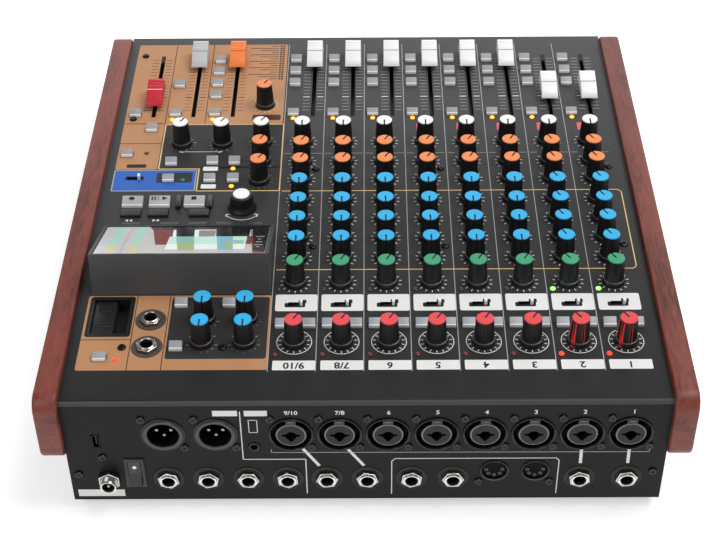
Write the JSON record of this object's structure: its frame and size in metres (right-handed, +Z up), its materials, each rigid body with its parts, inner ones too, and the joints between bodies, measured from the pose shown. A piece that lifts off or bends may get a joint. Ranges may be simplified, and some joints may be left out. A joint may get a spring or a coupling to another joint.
{
  "type": "digital mixer recorder",
  "caption": "Desktop digital mixer recorder: sloped control deck with faders, knobs and keys, tilted display hump, wooden cheeks and a rear socket panel.",
  "frame": {"origin": "middle of the outline, on the floor under the feet", "axes": "+X to the user's right, +Y back towards the socket panel, +Z up"},
  "size_m": [0.343, 0.3656, 0.0991],
  "materials": {
    "black_steel": "satin black powder coat with printed lines",
    "circuit_board": "green circuit board",
    "display": "colour display, dark when off",
    "fader_plastic": "white ribbed fader cap with a dark centre line",
    "foot_rubber": "matte rubber",
    "grey_fader_plastic": "grey ribbed fader cap with a dark centre line",
    "grey_plastic": "grey moulding",
    "hump_plastic": "fine matte moulding",
    "key_plastic": "grey key with a lighter lip",
    "knob_plastic": "dark knob with a coloured cap",
    "lens": "coloured lenses",
    "lever_plastic": "white lever",
    "orange_fader_plastic": "orange ribbed fader cap with a centre line",
    "red_fader_plastic": "red ribbed fader cap with a white centre line",
    "red_wood": "stained red-brown wood, satin",
    "socket_metal": "nickel-plated shell",
    "socket_plastic": "black moulded socket",
    "tray_steel": "satin black powder coat",
    "window": "clear gloss pane"
  },
  "bodies": {
    "case": {"base_tray": "tray_steel", "top_cover": "black_steel", "left_cheek": "red_wood", "right_cheek": "red_wood", "display_housing": "hump_plastic", "display_window": "window", "display_module": "display", "rubber_feet": "foot_rubber", "card_bay": "hump_plastic", "combo_sockets": "socket_plastic", "male_sockets": "socket_metal", "jack_sockets": "socket_metal", "midi_sockets": "socket_plastic", "rear_ports": "socket_metal", "control_board": "circuit_board", "main_board": "circuit_board", "rear_board": "circuit_board", "potentiometers": "grey_plastic", "fader_tracks": "grey_plastic", "indicator_lamps": "lens", "channel_knobs": "knob_plastic"},
    "power_rocker": {"power_rocker": "socket_plastic"},
    "jog_dial": {"jog_dial": "knob_plastic"},
    "channel_keys": {"channel_keys": "key_plastic"},
    "input_keys": {"input_keys": "key_plastic"},
    "master_keys": {"master_keys": "key_plastic"},
    "transport_keys": {"transport_keys": "key_plastic"},
    "mode_levers": {"mode_levers": "lever_plastic"},
    "channel_1_fader": {"channel_1_fader": "fader_plastic"},
    "channel_2_fader": {"channel_2_fader": "fader_plastic"},
    "channel_3_fader": {"channel_3_fader": "fader_plastic"},
    "channel_4_fader": {"channel_4_fader": "fader_plastic"},
    "channel_5_fader": {"channel_5_fader": "fader_plastic"},
    "channel_6_fader": {"channel_6_fader": "fader_plastic"},
    "channel_7_8_fader": {"channel_7_8_fader": "fader_plastic"},
    "channel_9_10_fader": {"channel_9_10_fader": "fader_plastic"},
    "main_fader": {"main_fader": "red_fader_plastic"},
    "sub_fader": {"sub_fader": "grey_fader_plastic"},
    "effect_fader": {"effect_fader": "orange_fader_plastic"},
    "channel_1_pan_knob": {"channel_1_pan_knob": "knob_plastic"},
    "channel_1_send_one_knob": {"channel_1_send_one_knob": "knob_plastic"},
    "channel_1_send_two_knob": {"channel_1_send_two_knob": "knob_plastic"},
    "channel_1_eq_high_knob": {"channel_1_eq_high_knob": "knob_plastic"},
    "channel_1_eq_frequency_knob": {"channel_1_eq_frequency_knob": "knob_plastic"},
    "channel_1_eq_mid_knob": {"channel_1_eq_mid_knob": "knob_plastic"},
    "channel_1_eq_low_knob": {"channel_1_eq_low_knob": "knob_plastic"},
    "channel_1_comp_knob": {"channel_1_comp_knob": "knob_plastic"},
    "channel_1_gain_knob": {"channel_1_gain_knob": "knob_plastic"},
    "effect_level_knob": {"effect_level_knob": "knob_plastic"},
    "phones_left_knob": {"phones_left_knob": "knob_plastic"},
    "phones_right_knob": {"phones_right_knob": "knob_plastic"},
    "return_level_knob": {"return_level_knob": "knob_plastic"},
    "return_send_one_knob": {"return_send_one_knob": "knob_plastic"},
    "return_send_two_knob": {"return_send_two_knob": "knob_plastic"},
    "master_high_knob": {"master_high_knob": "knob_plastic"},
    "master_low_knob": {"master_low_knob": "knob_plastic"},
    "master_mid_knob": {"master_mid_knob": "knob_plastic"},
    "master_frequency_knob": {"master_frequency_knob": "knob_plastic"}
  },
  "joints": [
    {"name": "channel_1_fader_slide", "type": "slide", "parent": "case", "child": "channel_1_fader", "axis": [0, 0.9962, 0.0872], "range_m": [-0.0384, 0.0216]},
    {"name": "channel_2_fader_slide", "type": "slide", "parent": "case", "child": "channel_2_fader", "axis": [0, 0.9962, 0.0872], "range_m": [-0.0384, 0.0216]},
    {"name": "channel_3_fader_slide", "type": "slide", "parent": "case", "child": "channel_3_fader", "axis": [0, 0.9962, 0.0872], "range_m": [0, 0.06]},
    {"name": "channel_4_fader_slide", "type": "slide", "parent": "case", "child": "channel_4_fader", "axis": [0, 0.9962, 0.0872], "range_m": [0, 0.06]},
    {"name": "channel_5_fader_slide", "type": "slide", "parent": "case", "child": "channel_5_fader", "axis": [0, 0.9962, 0.0872], "range_m": [0, 0.06]},
    {"name": "channel_6_fader_slide", "type": "slide", "parent": "case", "child": "channel_6_fader", "axis": [0, 0.9962, 0.0872], "range_m": [0, 0.06]},
    {"name": "channel_7_8_fader_slide", "type": "slide", "parent": "case", "child": "channel_7_8_fader", "axis": [0, 0.9962, 0.0872], "range_m": [0, 0.06]},
    {"name": "channel_9_10_fader_slide", "type": "slide", "parent": "case", "child": "channel_9_10_fader", "axis": [0, 0.9962, 0.0872], "range_m": [0, 0.06]},
    {"name": "main_fader_slide", "type": "slide", "parent": "case", "child": "main_fader", "axis": [0, 0.9962, 0.0872], "range_m": [-0.045, 0.015]},
    {"name": "sub_fader_slide", "type": "slide", "parent": "case", "child": "sub_fader", "axis": [0, 0.9962, 0.0872], "range_m": [0, 0.06]},
    {"name": "effect_fader_slide", "type": "slide", "parent": "case", "child": "effect_fader", "axis": [0, 0.9962, 0.0872], "range_m": [0, 0.06]},
    {"name": "channel_1_pan_knob_turn", "type": "hinge", "parent": "case", "child": "channel_1_pan_knob", "pos_m": [-0.1386, -0.05866, 0.06035], "axis": [0, 0.0872, -0.9962], "range_deg": [-150, 150]},
    {"name": "channel_1_send_one_knob_turn", "type": "hinge", "parent": "case", "child": "channel_1_send_one_knob", "pos_m": [-0.1386, -0.03794, 0.06216], "axis": [0, 0.0872, -0.9962], "range_deg": [-300, 0]},
    {"name": "channel_1_send_two_knob_turn", "type": "hinge", "parent": "case", "child": "channel_1_send_two_knob", "pos_m": [-0.1386, -0.02031, 0.0637], "axis": [0, 0.0872, -0.9962], "range_deg": [-300, 0]},
    {"name": "channel_1_eq_high_knob_turn", "type": "hinge", "parent": "case", "child": "channel_1_eq_high_knob", "pos_m": [-0.1386, -0.00039, 0.06545], "axis": [0, 0.0872, -0.9962], "range_deg": [-300, 0]},
    {"name": "channel_1_eq_frequency_knob_turn", "type": "hinge", "parent": "case", "child": "channel_1_eq_frequency_knob", "pos_m": [-0.1386, 0.01804, 0.06706], "axis": [0, 0.0872, -0.9962], "range_deg": [-300, 0]},
    {"name": "channel_1_eq_mid_knob_turn", "type": "hinge", "parent": "case", "child": "channel_1_eq_mid_knob", "pos_m": [-0.1386, 0.03548, 0.06858], "axis": [0, 0.0872, -0.9962], "range_deg": [-300, 0]},
    {"name": "channel_1_eq_low_knob_turn", "type": "hinge", "parent": "case", "child": "channel_1_eq_low_knob", "pos_m": [-0.1386, 0.05341, 0.07015], "axis": [0, 0.0872, -0.9962], "range_deg": [-300, 0]},
    {"name": "channel_1_comp_knob_turn", "type": "hinge", "parent": "case", "child": "channel_1_comp_knob", "pos_m": [-0.1386, 0.07463, 0.07201], "axis": [0, 0.0872, -0.9962], "range_deg": [-300, 0]},
    {"name": "channel_1_gain_knob_turn", "type": "hinge", "parent": "case", "child": "channel_1_gain_knob", "pos_m": [-0.1395, 0.12314, 0.07625], "axis": [0, 0.0872, -0.9962], "range_deg": [-300, 0]},
    {"name": "effect_level_knob_turn", "type": "hinge", "parent": "case", "child": "effect_level_knob", "pos_m": [0.0648, -0.09951, 0.05677], "axis": [0, 0.0872, -0.9962], "range_deg": [0, 300]},
    {"name": "phones_left_knob_turn", "type": "hinge", "parent": "case", "child": "phones_left_knob", "pos_m": [0.1147, -0.05767, 0.06043], "axis": [0, 0.0872, -0.9962], "range_deg": [0, 300]},
    {"name": "phones_right_knob_turn", "type": "hinge", "parent": "case", "child": "phones_right_knob", "pos_m": [0.0895, -0.05767, 0.06043], "axis": [0, 0.0872, -0.9962], "range_deg": [0, 300]},
    {"name": "return_level_knob_turn", "type": "hinge", "parent": "case", "child": "return_level_knob", "pos_m": [0.0647, -0.05837, 0.06037], "axis": [0, 0.0872, -0.9962], "range_deg": [0, 300]},
    {"name": "return_send_one_knob_turn", "type": "hinge", "parent": "case", "child": "return_send_one_knob", "pos_m": [0.0645, -0.03914, 0.06205], "axis": [0, 0.0872, -0.9962], "range_deg": [0, 300]},
    {"name": "return_send_two_knob_turn", "type": "hinge", "parent": "case", "child": "return_send_two_knob", "pos_m": [0.0645, -0.01971, 0.06376], "axis": [0, 0.0872, -0.9962], "range_deg": [0, 300]},
    {"name": "master_high_knob_turn", "type": "hinge", "parent": "case", "child": "master_high_knob", "pos_m": [0.065, 0.12304, 0.07624], "axis": [0, 0.0872, -0.9962], "range_deg": [-150, 150]},
    {"name": "master_low_knob_turn", "type": "hinge", "parent": "case", "child": "master_low_knob", "pos_m": [0.065, 0.10461, 0.07463], "axis": [0, 0.0872, -0.9962], "range_deg": [-150, 150]},
    {"name": "master_mid_knob_turn", "type": "hinge", "parent": "case", "child": "master_mid_knob", "pos_m": [0.088, 0.12304, 0.07624], "axis": [0, 0.0872, -0.9962], "range_deg": [-150, 150]},
    {"name": "master_frequency_knob_turn", "type": "hinge", "parent": "case", "child": "master_frequency_knob", "pos_m": [0.088, 0.10461, 0.07463], "axis": [0, 0.0872, -0.9962], "range_deg": [-150, 150]},
    {"name": "jog_dial_turn", "type": "hinge", "parent": "case", "child": "jog_dial", "pos_m": [0.0732, 0.00709, 0.0661], "axis": [0, 0.0872, -0.9962], "continuous": true},
    {"name": "channel_keys_press", "type": "slide", "parent": "case", "child": "channel_keys", "axis": [0, 0.0872, -0.9962], "range_m": [0, 0.001], "stiffness_N_per_m": 1000, "springref_m": -0.0005},
    {"name": "input_keys_press", "type": "slide", "parent": "case", "child": "input_keys", "axis": [0, 0.0872, -0.9962], "range_m": [0, 0.001], "stiffness_N_per_m": 1000, "springref_m": -0.0005},
    {"name": "master_keys_press", "type": "slide", "parent": "case", "child": "master_keys", "axis": [0, 0.0872, -0.9962], "range_m": [0, 0.001], "stiffness_N_per_m": 1000, "springref_m": -0.0005},
    {"name": "transport_keys_press", "type": "slide", "parent": "case", "child": "transport_keys", "axis": [0, 0.0872, -0.9962], "range_m": [0, 0.001], "stiffness_N_per_m": 1000, "springref_m": -0.0005},
    {"name": "mode_levers_slide", "type": "slide", "parent": "case", "child": "mode_levers", "axis": [1, 0, 0], "range_m": [0, 0.0054]},
    {"name": "power_rocker_turn", "type": "hinge", "parent": "case", "child": "power_rocker", "pos_m": [0.1238, 0.17134, 0.02787], "axis": [1, 0, 0], "range_deg": [-16, 0]}
  ]
}
